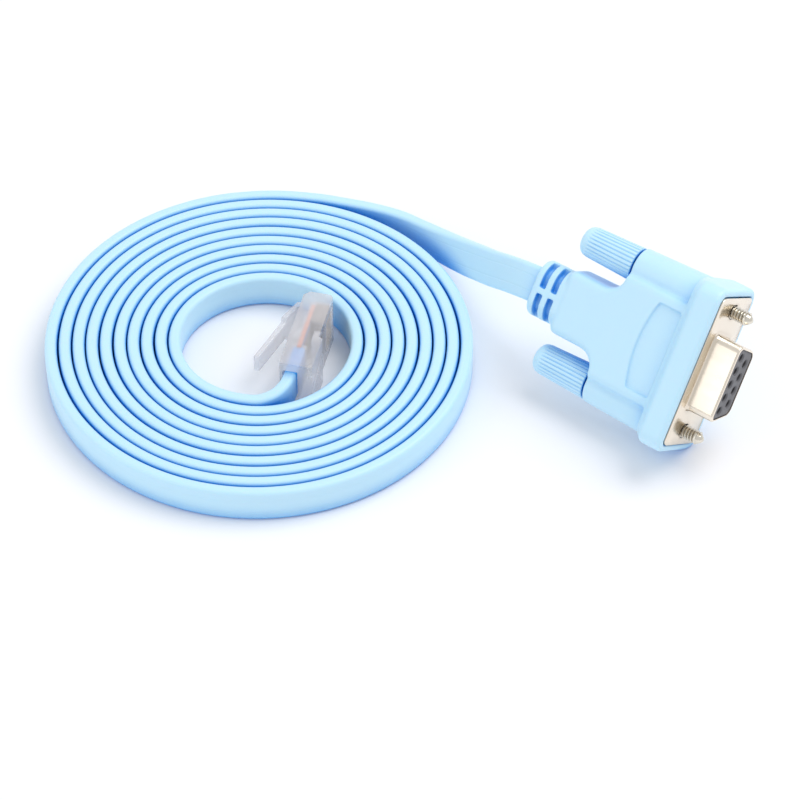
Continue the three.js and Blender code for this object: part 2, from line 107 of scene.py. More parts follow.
class Wire:
    def __init__(self, tree, socket=None):
        self.tree = tree
        self.socket = socket

    def node(self, kind, settings=None, values=None, output=0):
        made = self.tree.nodes.new(kind)
        for name, value in (settings or {}).items():
            if name == "stops":
                ramp = made.color_ramp.elements
                while len(ramp) < len(value):
                    ramp.new(1)
                for element, (place, colour) in zip(ramp, value):
                    element.position = place
                    element.color = colour
            else:
                setattr(made, name, value)
        for name, value in (values or {}).items():
            if isinstance(value, Wire):
                self.tree.links.new(value.socket, made.inputs[name])
            else:
                made.inputs[name].default_value = value
        return Wire(self.tree, made.outputs[output]) if made.outputs else None

    def math(self, operation, *values):
        return self.node("ShaderNodeMath", {"operation": operation}, dict(enumerate(values)))

    def __add__(self, other):
        return self.math("ADD", self, other)

    def __radd__(self, other):
        return self.math("ADD", other, self)

    def __sub__(self, other):
        return self.math("SUBTRACT", self, other)

    def __rsub__(self, other):
        return self.math("SUBTRACT", other, self)

    def __mul__(self, other):
        return self.math("MULTIPLY", self, other)

    def __rmul__(self, other):
        return self.math("MULTIPLY", other, self)

    def __truediv__(self, other):
        return self.math("DIVIDE", self, other)

    def __pow__(self, other):
        return self.math("POWER", self, other)

    def mixed(self, low, high):
        values = {0: self, 6: low, 7: high}
        return self.node("ShaderNodeMix", {"data_type": "RGBA"}, values, 2)

    def noise(self, scale, detail=3, roughness=0.5):
        place = self.node("ShaderNodeTexCoord", output="Object")
        values = {"Vector": place, "Scale": scale, "Detail": detail, "Roughness": roughness}
        return self.node("ShaderNodeTexNoise", {}, values)

    def bump(self, height, distance, strength=1.0):
        values = {"Height": height, "Distance": distance, "Strength": strength}
        return self.node("ShaderNodeBump", {}, values)


def shade(red, green, blue):
    def linear(value):
        share = value / 255
        return share / 12.92 if share <= 0.04045 else ((share + 0.055) / 1.055) ** 2.4
    return (linear(red), linear(green), linear(blue), 1)


def newMaterial(name):
    material = bpy.data.materials.new(name)
    material.use_nodes = True
    material.node_tree.nodes.clear()
    return material, Wire(material.node_tree)


def finishMaterial(wire, values):
    surface = wire.node("ShaderNodeBsdfPrincipled", {}, values)
    wire.node("ShaderNodeOutputMaterial", {}, {"Surface": surface})


# the deep colour is the painted shade colour for crevices, and reach is the ambient occlusion distance that
# places it
pvcLook = {"light": shade(196, 234, 255), "paintedShade": shade(16, 156, 236), "shadeReach": 0.0042, "gloss": 0.36,
           "grain": 2600, "grainDepth": 0.000012}


# Soft moulded PVC: light blue with random mottle, and painted shade: deeper and more saturated blue where it
# faces itself, in creases, slots and the gaps between turns, from ambient occlusion
def pvcMaterial(name, grainDepth, ribbed=False):
    material, wire = newMaterial(name)
    mottle = wire.noise(220, 4)
    grain = wire.noise(pvcLook["grain"], 2)
    # painted shade: ambient occlusion mixes the base colour towards the deep saturated blue where surfaces
    # crowd close
    shadeOpenness = wire.node("ShaderNodeAmbientOcclusion", {"samples": 8},
                         {"Distance": pvcLook["shadeReach"]}, "AO")
    unshadedShare = shadeOpenness * 1.3 - 0.24 + (mottle - 0.5) * 0.1
    colour = unshadedShare.mixed(pvcLook["paintedShade"], pvcLook["light"])
    height = grain
    depth = grainDepth
    if ribbed:
        across = wire.node("ShaderNodeAttribute", {"attribute_name": "across"}, {}, "Fac")
        side = across.math("ABSOLUTE", across)
        line = 1 - (side - 0.42).math("ABSOLUTE", side - 0.42) * 16
        groove = line.math("MAXIMUM", line, 0.0)
        height = grain * 0.12 - groove
        depth = 0.00003
    finishMaterial(wire, {
        "Base Color": colour,
        "Roughness": pvcLook["gloss"] + (mottle - 0.5) * 0.12,
        "Specular IOR Level": 0.45,
        "Subsurface Weight": 0.12,
        "Subsurface Radius": (0.4, 0.8, 1.0),
        "Subsurface Scale": 0.0012,
        "Normal": wire.bump(height, depth),
    })
    return material


# Plated metal: base colour with random cloud tone, and painted shade that darkens it towards its second,
# darker colour where ambient occlusion finds nearby surfaces
def metalMaterial(name, colour, shadeColour, roughness, streak, metallic=1.0):
    material, wire = newMaterial(name)
    place = wire.node("ShaderNodeTexCoord", output="Object")
    stretched = wire.node("ShaderNodeMapping", {}, {"Vector": place, "Scale": (streak, 1, 1)})
    grain = wire.node("ShaderNodeTexNoise", {}, {"Vector": stretched, "Scale": 900.0, "Detail": 4.0})
    cloud = wire.noise(260, 3)
    near = wire.node("ShaderNodeAmbientOcclusion", {"samples": 8}, {"Distance": 0.0012}, "AO")
    finishMaterial(wire, {
        # painted shade from ambient occlusion, mixed with random cloud tone
        "Base Color": (near * 0.9 + cloud * 0.2 - 0.05).mixed(shadeColour, colour),
        "Metallic": metallic,
        "Roughness": roughness + (grain - 0.5) * 0.16 + (cloud - 0.5) * 0.10,
        "Normal": wire.bump(grain, 0.000006),
    })
    return material


# Grey insulator: painted shade from ambient occlusion takes the base colour to near black in the socket holes
# and recesses; the cloud gives random tone
def insulatorMaterial():
    material, wire = newMaterial("grey_thermoplastic")
    near = wire.node("ShaderNodeAmbientOcclusion", {"samples": 8}, {"Distance": 0.0009}, "AO")
    cloud = wire.noise(500, 3)
    unshadedShare = near * 1.2 - 0.15 + (cloud - 0.5) * 0.15
    finishMaterial(wire, {
        "Base Color": unshadedShare.mixed(shade(16, 16, 18), shade(104, 104, 108)),
        "Roughness": 0.5 + (cloud - 0.5) * 0.2,
        "Normal": wire.bump(wire.noise(4200, 2), 0.00001),
    })
    return material


# Clear plastic: nearly seen through where it faces the eye, pale grey and denser at its edges
def clearMaterial():
    material, wire = newMaterial("clear_polycarbonate")
    cloud = wire.noise(180, 2)
    edge = wire.node("ShaderNodeLayerWeight", {}, {"Blend": 0.45}, "Facing")
    finishMaterial(wire, {
        "Base Color": edge.mixed(shade(250, 251, 253), shade(224, 216, 222)),
        "Roughness": 0.05 + cloud * 0.05,
        "Alpha": 0.2 + edge * 0.45 + (cloud - 0.5) * 0.1,
        "Normal": wire.bump(wire.noise(500, 2), 0.00001),
    })
    return material


def conductorMaterial(name, colour):
    material, wire = newMaterial(name)
    cloud = wire.noise(900, 2)
    finishMaterial(wire, {
        "Base Color": cloud.mixed(colour, [0.8 * share for share in colour[:3]] + [1]),
        "Roughness": 0.4 + cloud * 0.1,
    })
    return material


def floorMaterial():
    material, wire = newMaterial("pale_floor")
    cloud = wire.noise(3, 2)
    finishMaterial(wire, {
        "Base Color": cloud.mixed(shade(246, 246, 250), shade(250, 250, 252)),
        "Roughness": 0.6 + cloud * 0.05,
        "Specular IOR Level": 0.2,
    })
    return material


def makeStage():
    bm = bmesh.new()
    bmesh.ops.create_grid(bm, x_segments=1, y_segments=1, size=3.0)
    mesh = bpy.data.meshes.new("floor")
    bm.to_mesh(mesh)
    bm.free()
    mesh.materials.append(floorMaterial())
    floor = bpy.data.objects.new("floor", mesh)
    scene.collection.objects.link(floor)
    world = bpy.data.worlds.new("studio")
    scene.world = world
    world.use_nodes = True
    background = world.node_tree.nodes["Background"]
    background.inputs["Color"].default_value = (0.97, 0.98, 1, 1)
    background.inputs["Strength"].default_value = lightLook["world"]
    makeLamp("key")
    makeLamp("fill")
    scene.view_settings.view_transform = "Standard"


makeCamera()
makeStage()
print("camera, floor and lights ready")

jacket = pvcMaterial("cable_jacket", 0.00001, ribbed=True)
moulding = pvcMaterial("moulded_pvc", pvcLook["grainDepth"])
# each metal's second, darker colour is painted shade, used in its creases and corners
nickel = metalMaterial("nickel_plate", shade(246, 236, 220), shade(150, 126, 98), 0.24, 0.2)
steel = metalMaterial("screw_steel", shade(236, 230, 216), shade(104, 90, 70), 0.25, 1.0)
gold = metalMaterial("gold_plate", shade(226, 182, 96), shade(90, 60, 24), 0.25, 1.0)
greyPlastic = insulatorMaterial()
clear = clearMaterial()


# Making and finishing pieces

def bodyOf(node):
    return frame["nodes"][node]["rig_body"]


def makeObject(name, bm, place):
    bmesh.ops.transform(bm, matrix=place, verts=bm.verts)
    mesh = bpy.data.meshes.new(name)
    bm.to_mesh(mesh)
    bm.free()
    made = bpy.data.objects.new(name, mesh)
    scene.collection.objects.link(made)
    return made


# Faces of a closed shell turned outwards
def facesOut(bm):
    bmesh.ops.recalc_face_normals(bm, faces=bm.faces)
    if bm.calc_volume(signed=True) < 0:
        bmesh.ops.reverse_faces(bm, faces=bm.faces)


# A closed shell, faces outwards, added to others
def joinInto(bm, part):
    facesOut(part)
    mesh = bpy.data.meshes.new("joined")
    part.to_mesh(mesh)
    part.free()
    bm.from_mesh(mesh)
    bpy.data.meshes.remove(mesh)


# A finished piece, in place, riding with the first of the nodes that it stands for
def makePiece(name, bm, place, material, nodes, sharpAngle=35):
    bmesh.ops.recalc_face_normals(bm, faces=bm.faces)
    made = makeObject(name, bm, place)
    made.data.materials.append(material)
    made.data.shade_smooth()
    made.data.set_sharp_from_angle(angle=math.radians(sharpAngle))
    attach(made, bodyOf(nodes[0]))
    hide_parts(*nodes)
    return made


# The mesh of a bmesh after a list of modifiers, each a type with its settings, as a new bmesh
def throughModifiers(bm, *steps):
    held = makeObject("held", bm, Matrix.Identity(4))
    for kind, settings in steps:
        modifier = held.modifiers.new(kind.lower(), kind)
        for name, value in settings.items():
            setattr(modifier, name, value)
    graph = bpy.context.evaluated_depsgraph_get()
    mesh = bpy.data.meshes.new_from_object(held.evaluated_get(graph))
    bpy.data.objects.remove(held)
    result = bmesh.new()
    result.from_mesh(mesh)
    bpy.data.meshes.remove(mesh)
    return result


# Closed outline in the plane at x, from a few corners in y and z with rounded corners
def roundedRing(bm, x, corners, radius, segments=6):
    verts = [bm.verts.new((x, y, z)) for y, z in corners]
    bm.faces.new(verts)
    made = bmesh.ops.bevel(bm, geom=verts, offset=radius, offset_type="OFFSET", segments=segments,
                           profile=0.5, affect="VERTICES", material=-1)
    ring = {edge for vert in made["verts"] for edge in vert.link_edges}
    bmesh.ops.delete(bm, geom=[f for f in {f for e in ring for f in e.link_faces}], context="FACES_ONLY")
    return [edge for edge in ring if edge.is_valid]


def rectangle(width, height):
    w, h = width / 2, height / 2
    return [(-w, -h), (w, -h), (w, h), (-w, h)]


def loft(bm, rings, closed=False):
    pairs = list(zip(rings, rings[1:]))
    if closed:
        pairs.append((rings[-1], rings[0]))
    for near, far in pairs:
        bmesh.ops.bridge_loops(bm, edges=near + far)
    if not closed:
        for end in (rings[0], rings[-1]):
            bmesh.ops.edgeloop_fill(bm, edges=end)


def rod(bm, radius, start, end, y=0, z=0, endRadius=None, segments=32):
    place = Matrix.Translation(((start + end) / 2, y, z)) @ Matrix.Rotation(math.radians(90), 4, "Y")
    last = radius if endRadius is None else endRadius
    bmesh.ops.create_cone(bm, cap_ends=True, segments=segments, radius1=radius, radius2=last,
                          depth=end - start, matrix=place)


def circleAt(bm, x, radius, count):
    place = Matrix.Translation((x, 0, 0)) @ Matrix.Rotation(math.radians(90), 4, "Y")
    made = bmesh.ops.create_circle(bm, cap_ends=False, segments=count, radius=radius, matrix=place)
    return made["verts"]


def edgesOf(verts):
    return list({edge for vert in verts for edge in vert.link_edges})


# A closed mesh less a mesh of cutters
def cutBy(bm, cutters):
    cutter = makeObject("cutter", cutters, Matrix.Identity(4))
    left = throughModifiers(bm, ("BOOLEAN", {"operation": "DIFFERENCE", "object": cutter, "solver": "EXACT"}))
    bpy.data.objects.remove(cutter)
    return left


# A profile of (x, radius) turned round the x axis; it starts and ends on the axis
def turned(bm, profile, segments=48):
    verts = [bm.verts.new((x, radius, 0)) for x, radius in profile]
    edges = [bm.edges.new(pair) for pair in zip(verts, verts[1:])]
    bmesh.ops.spin(bm, geom=verts + edges, cent=(0, 0, 0), axis=(1, 0, 0), dvec=(0, 0, 0),
                   angle=2 * math.pi, steps=segments, use_merge=True)
    bmesh.ops.remove_doubles(bm, verts=bm.verts, dist=1e-4)


def eased(share):
    return share * share * (3 - 2 * share)


# Connector frame: x forward from the flange face, y to the upper screw, z out of the side with
# five sockets

hoodLook = {
    "roll": 53, "rimWidth": 34, "rimHeight": 17.2, "rimCorner": 3, "rimFront": -0.2, "rimDepth": 4.4,
    "rimSlope": 2.6, "rimRound": 0.55, "bodyBack": -21.4, "bodyFrontThickness": 11.6,
    "bodyBackThickness": 7.6, "bodyWidth": 22.4, "bodyCorner": 1.5, "neckWidth": 13.2, "neckBack": -33.2,
    "neckFlare": 3.9, "barrelBack": 3.75, "barrelFront": 4.4, "screwSpacing": 24.99, "boreRadius": 1.75,
    "reliefWidth": 11.6, "reliefThickness": 7.4, "reliefBack": -39.6, "slotFirst": -34.7, "slotPitch": 2.6,
    "slotWidth": 1.35, "slotDepth": 1.5, "slotBridge": 1.2, "panelDepth": 0.45, "panelWidth": 17.8,
    "panelFront": -7.4, "panelBack": -12.6, "panelBow": 1.5, "seamHalf": 11.2, "seamWidth": 0.6,
    "seamDepth": 0.85, "seamFront": -7.6, "seamBack": -18, "pocketWidth": 31.1, "pocketHeight": 14.3,
    "pocketDepth": 0.8, "entryWidth": 7.3, "entryHeight": 2.5, "coarse": 0.3, "fine": 0.2,
}
connectorPlace = (toMetres @ Matrix.Translation((mounts["flange_face"].x, 0, mounts["socket_face"].z))
                  @ Matrix.Rotation(math.radians(hoodLook["roll"]), 4, "X"))


def bodyThickness(x):
    look = hoodLook
    share = (x - look["neckBack"]) / (look["rimFront"] - look["rimDepth"] - look["neckBack"])
    return look["bodyBackThickness"] + share * (look["bodyFrontThickness"] - look["bodyBackThickness"])


def hoodShells(bm):
    look = hoodLook
    front, back = look["rimFront"], look["rimFront"] - look["rimDepth"]
    width, height, corner = look["rimWidth"], look["rimHeight"], look["rimCorner"]
    rim = bmesh.new()
    rings = []
    for x, inset in ((front, look["rimRound"]), (front - 0.12, 0.25), (front - 0.5, 0), (back, 0)):
        outline = rectangle(width - 2 * inset, height - 2 * inset)
        rings.append(roundedRing(rim, x, outline, corner - inset, 8))
    steps = 6
    for i in range(1, steps + 1):
        share = eased(i / steps)
        high = height + share * (look["bodyFrontThickness"] - height)
        wide = width - share * 0.8
        x = back - look["rimSlope"] * i / steps
        rings.append(roundedRing(rim, x, rectangle(wide, high), corner, 8))
    loft(rim, rings)
    joinInto(bm, rim)

    # neck, its concave corners and the body between the barrels
    flareFrom = look["bodyBack"] - look["neckFlare"]
    neck = look["neckWidth"] / 2
    places = [(look["neckBack"], neck - 1.1, 0.7), (look["neckBack"] + 0.35, neck - 0.45, 0.3),
              (look["neckBack"] + 1.0, neck, 0)]
    arcSteps = 9
    for i in range(arcSteps + 1):
        angle = math.radians(90 * i / arcSteps)
        places.append((flareFrom + look["neckFlare"] * math.sin(angle),
                       neck + look["neckFlare"] * (1 - math.cos(angle)), 0))
    places += [(look["bodyBack"] + 0.1, look["bodyWidth"] / 2, 0), (back, look["bodyWidth"] / 2, 0)]
    body = bmesh.new()
    rings = [roundedRing(body, x, rectangle(2 * half, bodyThickness(x) - 2 * thin), look["bodyCorner"], 6)
             for x, half, thin in places]
    loft(body, rings)
    joinInto(bm, body)

    for side in (1, -1):
        y = side * look["screwSpacing"] / 2
        barrel = bmesh.new()
        rod(barrel, look["barrelBack"], look["bodyBack"], back + 1, y,
            endRadius=look["barrelFront"], segments=64)
        joinInto(bm, barrel)

    wide, thick, end = look["reliefWidth"], look["reliefThickness"], look["reliefBack"]
    radius = thick / 2 - 0.05
    relief = bmesh.new()
    rings = []
    for x, inset in ((end, 0.8), (end + 0.2, 0.35), (end + 0.7, 0), (look["neckBack"] + 1, 0)):
        outline = rectangle(wide - 2 * inset, thick - 2 * inset)
        rings.append(roundedRing(relief, x, outline, radius - inset, 12))
    loft(relief, rings)
    joinInto(bm, relief)


# One quarter of a slot of the strain relief
def slotQuarter(bm, middle, signY, signZ):
    look = hoodLook
    part = bmesh.new()
    wide, thick = look["reliefWidth"], look["reliefThickness"]
    half, depth = look["slotWidth"] / 2, look["slotDepth"]
    outer = rectangle(wide + 2, thick + 2)
    inner = rectangle(wide - 2 * depth, thick - 2 * depth)
    rings = [roundedRing(part, middle - half, outer, thick / 2, 12),
             roundedRing(part, middle + half, outer, thick / 2, 12),
             roundedRing(part, middle + half, inner, thick / 2 - depth - 0.05, 12),
             roundedRing(part, middle - half, inner, thick / 2 - depth - 0.05, 12)]
    loft(part, rings, closed=True)
    bridge = look["slotBridge"] / 2
    for at, normal in (((0, signY * bridge, 0), (0, signY, 0)), ((0, 0, signZ * bridge), (0, 0, signZ))):
        geometry = part.verts[:] + part.edges[:] + part.faces[:]
        bmesh.ops.bisect_plane(part, geom=geometry, plane_co=at, plane_no=normal, clear_inner=True)
        bmesh.ops.holes_fill(part, edges=[edge for edge in part.edges if edge.is_boundary], sides=0)
    joinInto(bm, part)


# A flat-topped cutter over an outline of (x, y), with its floor a depth under the body's face
def faceCutter(bm, outline, depth, side):
    part = bmesh.new()
    verts = [part.verts.new((x, y, side * (bodyThickness(x) / 2 - depth))) for x, y in outline]
    face = part.faces.new(verts)
    made = bmesh.ops.extrude_face_region(part, geom=[face])
    for vert in [item for item in made["geom"] if isinstance(item, bmesh.types.BMVert)]:
        vert.co.z = side * hoodLook["rimHeight"]
    joinInto(bm, part)


def hoodCutters():
    look = hoodLook
    bm = bmesh.new()
    for i in range(2):
        for signY in (1, -1):
            for signZ in (1, -1):
                slotQuarter(bm, look["slotFirst"] - i * look["slotPitch"], signY, signZ)
    half = look["panelWidth"] / 2
    panel = [(look["panelFront"], -half), (look["panelFront"], half)]
    bowSteps = 14
    for i in range(bowSteps + 1):
        share = 1 - 2 * i / bowSteps
        panel.append((look["panelBack"] - look["panelBow"] * (1 - share * share), half * share))
    for side in (1, -1):
        faceCutter(bm, panel, look["panelDepth"], side)
        for hand in (1, -1):
            y, wide = hand * look["seamHalf"], look["seamWidth"] / 2
            seam = [(look["seamBack"], y - wide), (look["seamFront"], y - wide),
                    (look["seamFront"], y + wide), (look["seamBack"], y + wide)]
            faceCutter(bm, seam, look["seamDepth"], side)
        bore = bmesh.new()
        rod(bore, look["boreRadius"], look["bodyBack"] - 1, -look["pocketDepth"] - 0.3,
            side * look["screwSpacing"] / 2)
        joinInto(bm, bore)
    pocket = bmesh.new()
    rings = [roundedRing(pocket, x, rectangle(look["pocketWidth"], look["pocketHeight"]), 1.8, 8)
             for x in (-look["pocketDepth"], 1)]
    loft(pocket, rings)
    joinInto(bm, pocket)
    entry = bmesh.new()
    rings = [roundedRing(entry, x, rectangle(look["entryWidth"], look["entryHeight"]), 0.7)
             for x in (look["reliefBack"] - 1, look["reliefBack"] + 3.2)]
    loft(entry, rings)
    joinInto(bm, entry)
    return bm


def makeHood():
    shells = bmesh.new()
    hoodShells(shells)
    cutters = makeObject("cutters", hoodCutters(), Matrix.Identity(4))
    body = throughModifiers(
        shells,
        ("REMESH", {"mode": "VOXEL", "voxel_size": hoodLook["coarse"]}),
        ("SMOOTH", {"factor": 0.5, "iterations": 7}),
        ("BOOLEAN", {"operation": "DIFFERENCE", "object": cutters, "solver": "EXACT"}),
        ("REMESH", {"mode": "VOXEL", "voxel_size": hoodLook["fine"]}),
        ("SMOOTH", {"factor": 0.5, "iterations": 2}),
    )
    bpy.data.objects.remove(cutters)
    print("hood faces:", len(body.faces))
    return makePiece("hood_moulding", body, connectorPlace, moulding, ["moulded_hood"], 60)


# Cable

cableLook = {"width": 7.2, "thickness": 2.4, "corner": 0.85, "pitch": 2.69, "firstRadius": 16.6,
             "firstAngle": -53.67, "turns": 9.5, "centre": (-63.7, -35.65), "stepsPerTurn": 24,
             "ringGap": 1.6, "length": 1830}

# Route of the lead from the coil to the strain relief: x, y, z and the turn of the flat away from upright
leadRoute = [
    (-63.0, 9.5, 3.7, 1),
    (-56.2, 8.9, 4.6, 6),
    (-49.6, 7.5, 6.3, 16),
    (-44.9, 6.2, 8.0, 23),
    (-40.3, 4.8, 10.0, 29),
    (-36.0, 3.4, 12.0, 33),
    (-31.7, 1.9, 14.4, 35),
    (-28.3, 0.8, 16.1, 37),
    (-25.2, 0.1, 17.25, 37),
]
# Where the outermost turn leaves the ring, and the tail from the innermost turn to the plug
loosening = [(-80.5, 3.4, 3.6, 0), (-74.6, 6.0, 3.6, 0), (-68.5, 8.3, 3.6, 0)]
tailRoute = [
    (-54.0, -49.35, 4.2, 0),
    (-52.85, -48.05, 4.5, 0),
    (-52.05, -46.55, 4.8, 0),
    (-51.7, -44.8, 5.2, 0),
    (-51.8, -42.9, 5.7, 0),
]


def spiralPoint(turn):
    look = cableLook
    radius = look["firstRadius"] + look["pitch"] * turn
    angle = math.radians(look["firstAngle"] - 360 * turn)
    height = look["width"] / 2 + 0.1 * (1 + math.sin(2.1 * angle + 0.7 * turn))
    lift = max(0.0, 1 - turn / 0.2)
    return (look["centre"][0] + radius * math.cos(angle), look["centre"][1] + radius * math.sin(angle),
            height + 0.5 * lift, 1.2 * math.sin(1.3 * angle))


def cordPoints():
    look = cableLook
    steps = round(look["turns"] * look["stepsPerTurn"])
    spiral = [spiralPoint(look["turns"] - i / look["stepsPerTurn"]) for i in range(steps)]
    entry = mounts["flange_face"].x + hoodLook["reliefBack"] + 2.7
    axis = mounts["socket_face"].z
    turn = 90 - hoodLook["roll"]
    inRelief = [(entry, 0, axis, turn), (entry - 3, 0, axis, turn)]
    points = inRelief + leadRoute[::-1] + loosening[::-1] + spiral + tailRoute + plugEntry()
    return [Vector(point) for point in points]


# Centripetal Catmull-Rom curve through the points, with a ring about every ringGap
def smoothRoute(points, gap):
    ends = [2 * points[0] - points[1], *points, 2 * points[-1] - points[-2]]
    route = []
    for a, b, c, d in zip(ends, ends[1:], ends[2:], ends[3:]):
        knots = [0]
        for near, far in ((a, b), (b, c), (c, d)):
            knots.append(knots[-1] + (far.xyz - near.xyz).length ** 0.5)
        count = max(1, math.ceil((c.xyz - b.xyz).length / gap))
        for i in range(count):
            t = knots[1] + (knots[2] - knots[1]) * i / count
            level = [a, b, c, d]
            for width in (1, 2, 3):
                if width == 3:
                    low, high = knots[1], knots[2]
                    level = [level[0] * (high - t) / (high - low) + level[1] * (t - low) / (high - low)]
                else:
                    level = [near * (knots[j + width] - t) / (knots[j + width] - knots[j])
                             + far * (t - knots[j]) / (knots[j + width] - knots[j])
                             for j, (near, far) in enumerate(zip(level, level[1:]))]
            route.append(level[0])
    route.append(points[-1])
    return route


# The frame of the flat section at each point of the route: x along the cable, z across its width
def sectionPlaces(route):
    places = []
    for i, point in enumerate(route):
        ahead = (route[min(i + 1, len(route) - 1)].xyz - route[max(i - 1, 0)].xyz).normalized()
        turn = math.radians(point.w)
        across = Vector((0, math.sin(turn), math.cos(turn)))
        across = (across - ahead * across.dot(ahead)).normalized()
        through = across.cross(ahead)
        place = Matrix((ahead, through, across)).transposed().to_4x4()
        place.translation = point.xyz
        places.append(place)
    return places


def makeCable():
    look = cableLook
    route = smoothRoute(cordPoints(), look["ringGap"])
    places = sectionPlaces(route)
    bm = bmesh.new()
    ring = roundedRing(bm, 0, rectangle(look["thickness"], look["width"]), look["corner"], 5)
    across = bm.verts.layers.float.new("across")
    for vert in bm.verts:
        vert[across] = vert.co.z / (look["width"] / 2)
    bmesh.ops.transform(bm, matrix=places[0], verts=bm.verts)
    ends = [ring]
    for before, after in zip(places, places[1:]):
        made = bmesh.ops.extrude_edge_only(bm, edges=ring)["geom"]
        verts = [item for item in made if isinstance(item, bmesh.types.BMVert)]
        fresh = set(verts)
        edges = [item for item in made if isinstance(item, bmesh.types.BMEdge)]
        ring = [edge for edge in edges if fresh.issuperset(edge.verts)]
        bmesh.ops.transform(bm, matrix=after @ before.inverted(), verts=verts)
    ends.append(ring)
    for end in ends:
        bmesh.ops.edgeloop_fill(bm, edges=end)
    cableNodes = ["cable_coil", "cable_lead", "cable_tail"]
    cable = makePiece("flat_cable", bm, toMetres, jacket, cableNodes, 50)
    path = [point.xyz * 0.001 for point in route]
    measured = sum((b - a).length for a, b in zip(path, path[1:]))
    print("cable length:", round(measured, 4), "rings:", len(route))
    return cable


# Metal shell, insulator and contacts

shellLook = {"flangeWidth": 30.81, "flangeHeight": 14, "flangeCorner": 1.6, "sheet": 0.5, "hole": 3.1,
             "width": 16.33, "height": 7.9, "side": 10, "corner": 1.9, "depth": 5.8, "root": 0.7,
             "edgeRound": 0.45, "recess": 0.15, "insulatorBack": -3, "contactPitch": 2.77, "rowSpacing": 2.84,
             "bore": 1.6, "boreEdge": 0.25, "boreBack": -2.4, "sleeve": 1.2, "sleeveBore": 0.9,
             "sleeveRecess": 0.8, "sleeveBack": -2.3, "sleeveFloor": -1.2}


# Corners of the D outline, wide side at +z, moved inwards by a margin
def dCorners(margin):
    look = shellLook
    lean = math.radians(look["side"])
    high = look["height"] / 2 - margin
    middle = look["width"] / 2 - look["height"] / 2 * math.tan(lean) - margin / math.cos(lean)
    wide, narrow = middle + high * math.tan(lean), middle - high * math.tan(lean)
    return [(-narrow, -high), (narrow, -high), (wide, high), (-wide, high)]


def dRing(bm, x, margin):
    return roundedRing(bm, x, dCorners(margin), max(shellLook["corner"] - margin, 0.5) * 0.92, 9)


def socketPlaces():
    pitch, rows = shellLook["contactPitch"], shellLook["rowSpacing"] / 2
    return [((2 - i) * pitch, rows) for i in range(5)] + [((1.5 - i) * pitch, -rows) for i in range(4)]


def makeShell():
    look = shellLook
    wide, high, corner = look["flangeWidth"], look["flangeHeight"], look["flangeCorner"]
    plate = bmesh.new()
    rings = [roundedRing(plate, x, rectangle(wide - 2 * inset, high - 2 * inset), corner - inset, 8)
             for x, inset in ((-look["sheet"], 0), (-0.12, 0), (-0.035, 0.035), (0, 0.12))]
    loft(plate, rings)
    bmesh.ops.recalc_face_normals(plate, faces=plate.faces)
    holes = bmesh.new()
    for side in (1, -1):
        y = side * hoodLook["screwSpacing"] / 2
        rod(holes, look["hole"] / 2, -2, 2, y, segments=48)
    rings = [dRing(holes, x, look["sheet"]) for x in (-2, 2)]
    loft(holes, rings)
    bmesh.ops.recalc_face_normals(holes, faces=holes.faces)
    bm = cutBy(plate, holes)
    depth, r, root = look["depth"], look["edgeRound"], look["root"]
    rings = []
    for i in range(5):
        angle = math.radians(90 * i / 4)
        rings.append(dRing(bm, root * (1 - math.cos(angle)) - 0.02, root * (math.sin(angle) - 1)))
    for i in range(6):
        angle = math.radians(90 * i / 5)
        rings.append(dRing(bm, depth - r + r * math.sin(angle), r * (1 - math.cos(angle))))
    rings.append(dRing(bm, depth - 0.05, look["sheet"]))
    rings.append(dRing(bm, -look["sheet"], look["sheet"]))
    rings.append(dRing(bm, -look["sheet"], -root))
    loft(bm, rings, closed=True)
    return makePiece("nickel_shell", bm, connectorPlace, nickel, ["front_shell"], 40)


def makeInsulator():
    look = shellLook
    face = look["depth"] - look["recess"]
    body = bmesh.new()
    margin = look["sheet"] + 0.06
    insets = ((look["insulatorBack"], 0), (face - 0.15, 0), (face - 0.04, 0.04), (face, 0.15))
    rings = [dRing(body, x, margin + inset) for x, inset in insets]
    loft(body, rings)
    bmesh.ops.recalc_face_normals(body, faces=body.faces)
    holes = bmesh.new()
    for y, z in socketPlaces():
        radius, edge, back = look["bore"] / 2, look["boreEdge"], look["boreBack"]
        part = bmesh.new()
        turned(part, [(back, 0), (back, radius), (face - edge, radius),
                      (face + edge, radius + 2 * edge), (face + edge, 0)], 24)
        bmesh.ops.translate(part, verts=part.verts, vec=(0, y, z))
        joinInto(holes, part)
    return makePiece("insulator_block", cutBy(body, holes), connectorPlace, greyPlastic,
                     ["socket_insulator"], 30)


def makeSockets():
    look = shellLook
    bm = bmesh.new()
    front = look["depth"] - look["recess"] - look["sleeveRecess"]
    outer, bore = look["sleeve"] / 2, look["sleeveBore"] / 2
    back, floor = look["sleeveBack"], look["sleeveFloor"]
    for y, z in socketPlaces():
        part = bmesh.new()
        turned(part, [(back, 0), (back, outer), (front - 0.1, outer), (front, outer - 0.1),
                      (front, bore + 0.06), (front - 0.1, bore), (floor, bore), (floor, 0)], 20)
        bmesh.ops.translate(part, verts=part.verts, vec=(0, y, z))
        joinInto(bm, part)
    nodes = [f"socket_contact_{i + 1}" for i in range(len(socketPlaces()))]
    return makePiece("socket_sleeves", bm, connectorPlace, gold, nodes)


# Thumbscrews

screwLook = {"core": 1.08, "crest": 1.4, "pitch": 0.62, "tip": 4.4, "point": 0.9, "threadFrom": -1.6,
             "back": -30.7, "stepsPerTurn": 28, "endSteps": 8,
             "gripFront": 3.5, "gripBack": 3.05, "gripLength": 12.4, "gripRound": 1.6, "gripGap": 0.4,
             "ribs": 26, "ribDepth": 0.17, "ribSteps": 8, "gripBore": 1.55, "gripWall": 3.2}


